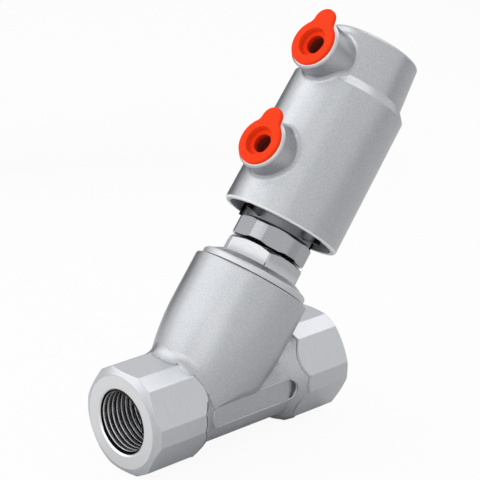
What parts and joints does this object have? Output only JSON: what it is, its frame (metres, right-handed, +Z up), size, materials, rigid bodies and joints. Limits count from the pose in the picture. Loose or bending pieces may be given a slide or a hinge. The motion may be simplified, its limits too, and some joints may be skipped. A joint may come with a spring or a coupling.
{
  "type": "angle-seat pneumatic filling valve",
  "caption": "Stainless Y-pattern valve with threaded hexagon ends, screwed bonnet and a leaning piston actuator whose air ports are closed by red push-in caps.",
  "frame": {"origin": "centre of the inlet face, on the flow axis", "axes": "+X along the flow from inlet to outlet, +Z up; the bonnet and actuator lean towards +X in the XZ plane"},
  "size_m": [0.1193, 0.0402, 0.1357],
  "materials": {
    "cast_stainless": "investment cast, bead blasted",
    "turned_stainless": "fine turned",
    "nut_stainless": "drawn and milled, satin",
    "spring_steel": "drawn wire",
    "piston_aluminium": "turned, clear anodised",
    "white_ptfe": "smooth, waxy",
    "black_rubber": "moulded, dull",
    "bush_bronze": "sintered",
    "cap_plastic": "soft moulded, satin"
  },
  "bodies": {
    "valve": {"actuator_housing": "cast_stainless", "body_gasket": "white_ptfe", "bonnet": "turned_stainless", "bonnet_bush": "bush_bronze", "cover_bush": "bush_bronze", "cover_seal": "black_rubber", "end_cover": "turned_stainless", "gland_nut": "nut_stainless", "lock_nut": "nut_stainless", "packing_follower": "turned_stainless", "packing_ring_1": "white_ptfe", "packing_ring_2": "white_ptfe", "packing_ring_3": "white_ptfe", "packing_ring_4": "white_ptfe", "packing_washer": "turned_stainless", "port_cap_lower": "cap_plastic", "port_cap_upper": "cap_plastic", "return_spring": "spring_steel", "stem_seal": "black_rubber", "valve_body": "cast_stainless"},
    "piston_rod": {"stem": "turned_stainless", "plug_disc": "turned_stainless", "seat_seal": "white_ptfe", "seal_washer": "turned_stainless", "plug_nut": "nut_stainless", "piston": "piston_aluminium", "piston_seal": "black_rubber", "wear_ring": "white_ptfe", "piston_washer": "turned_stainless", "piston_nut": "nut_stainless"}
  },
  "joints": [
    {"name": "stem_slide", "type": "slide", "parent": "valve", "child": "piston_rod", "axis": [0.6088, 0, 0.7934], "range_m": [0, 0.01], "stiffness_N_per_m": 7200, "springref_m": -0.015, "deforming": ["return_spring"]}
  ]
}
